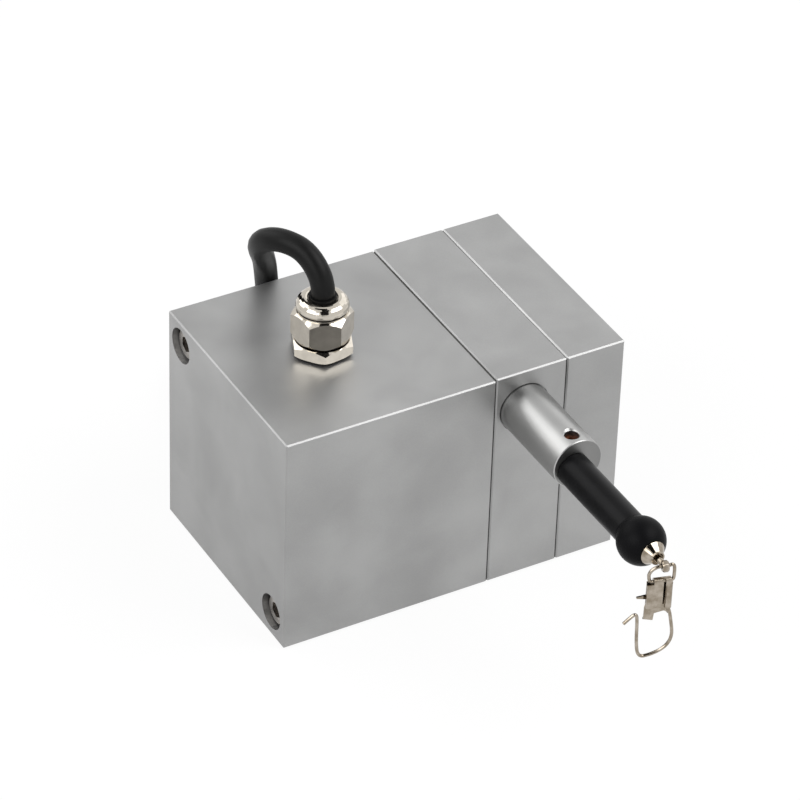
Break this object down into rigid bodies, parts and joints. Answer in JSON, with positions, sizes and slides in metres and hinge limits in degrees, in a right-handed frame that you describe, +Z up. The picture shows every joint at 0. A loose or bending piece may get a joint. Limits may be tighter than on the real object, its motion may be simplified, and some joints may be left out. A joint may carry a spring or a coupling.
{
  "type": "draw wire encoder",
  "caption": "Draw wire position encoder: square metal housing, sprung wire drum, outlet tube with ball stop and swivel snap hook, top cable gland with signal cable.",
  "frame": {"origin": "centre of the face that the cases stand on", "axes": "+X from the encoder's end to the spring's end, -Y the way the wire comes out, +Z up"},
  "size_m": [0.129, 0.1985, 0.0953],
  "materials": {
    "case_aluminium": "satin, clear anodised",
    "tube_aluminium": "satin, clear anodised",
    "machined_aluminium": "turned",
    "flat_seal": "matt",
    "black_rubber": "satin",
    "dark_steel": "satin",
    "ground_steel": "ground",
    "bearing_steel": "polished",
    "spring_steel": "blued",
    "wire_steel": "bright, stranded",
    "copper_bush": "turned",
    "coded_disc": "slotted",
    "cap_plastic": "moulded",
    "board_green": "lacquered",
    "standoff_brass": "turned",
    "gland_nickel": "nickel plated",
    "snap_nickel": "nickel plated",
    "sleeve_rubber": "satin",
    "ball_plastic": "satin gloss",
    "cable_sheath": "satin",
    "tie_nylon": "moulded",
    "lead_insulation": "coloured"
  },
  "bodies": {
    "housing": {"encoder_case": "case_aluminium", "drum_case": "case_aluminium", "spring_case": "case_aluminium", "encoder_case_seal": "flat_seal", "spring_case_seal": "flat_seal", "encoder_case_screws": "dark_steel", "spring_case_screws": "dark_steel", "outlet_tube": "tube_aluminium", "guide_bush": "copper_bush", "bearing_outer_rings": "bearing_steel", "spring_cover": "machined_aluminium", "cover_screws": "dark_steel", "power_spring": "spring_steel", "spring_anchor": "ground_steel", "encoder_bearings": "bearing_steel", "encoder_flange": "machined_aluminium", "encoder_cap": "cap_plastic", "encoder_board": "board_green", "bracket_plate": "machined_aluminium", "standoffs": "standoff_brass", "bracket_screws": "dark_steel", "flange_screws": "dark_steel", "inner_cable": "cable_sheath", "gland_washer": "black_rubber", "gland_body": "gland_nickel", "gland_nut": "gland_nickel", "gland_seal": "black_rubber", "cable": "cable_sheath", "cable_hank": "cable_sheath", "cable_ties": "tie_nylon", "cable_leads": "lead_insulation"},
    "rotor": {"bearing_inner_rings": "bearing_steel", "drum_shaft": "ground_steel", "wire_drum": "machined_aluminium", "wound_wire": "wire_steel", "spring_arbor": "ground_steel", "shaft_coupling": "machined_aluminium", "coupling_screws": "dark_steel", "encoder_shaft": "ground_steel", "code_disc": "coded_disc"},
    "wire_end": {"draw_wire": "wire_steel", "wire_sleeve": "sleeve_rubber", "ball_stop": "ball_plastic", "wire_ferrule": "snap_nickel"},
    "swivel": {"swivel_pin": "snap_nickel"},
    "link": {"wire_link": "snap_nickel"},
    "snap": {"snap_plate": "snap_nickel", "snap_bow": "snap_nickel"},
    "gate": {"snap_gate": "snap_nickel"}
  },
  "joints": [
    {"name": "wire_draw", "type": "slide", "parent": "housing", "child": "wire_end", "axis": [0, -1, 0], "range_m": [0, 1], "stiffness_N_per_m": 2, "springref_m": -2, "deforming": ["draw_wire"]},
    {"name": "drum_spin", "type": "hinge", "parent": "housing", "child": "rotor", "pos_m": [0, 0, 0.0327], "axis": [1, 0, 0], "range_deg": [0, 2800], "deforming": ["power_spring"]},
    {"name": "swivel_spin", "type": "hinge", "parent": "wire_end", "child": "swivel", "pos_m": [0.01815, -0.1, 0.0532], "axis": [0, 1, 0], "continuous": true},
    {"name": "link_tilt", "type": "hinge", "parent": "swivel", "child": "link", "pos_m": [0.01815, -0.1033, 0.05325], "axis": [0.9613, -0.2756, 0], "range_deg": [-90, 20]},
    {"name": "snap_tilt", "type": "hinge", "parent": "link", "child": "snap", "pos_m": [0.01815, -0.1033, 0.0488], "axis": [0.9613, -0.2756, 0], "range_deg": [-40, 40]},
    {"name": "gate_close", "type": "hinge", "parent": "snap", "child": "gate", "pos_m": [0.01575, -0.10261, 0.0256], "axis": [0.2756, 0.9613, 0], "range_deg": [0, 10], "stiffness_Nm_per_rad": 0.02}
  ],
  "couplings": [
    {"joint": "drum_spin", "follows": "wire_draw", "rad_per_m": 48.781}
  ]
}
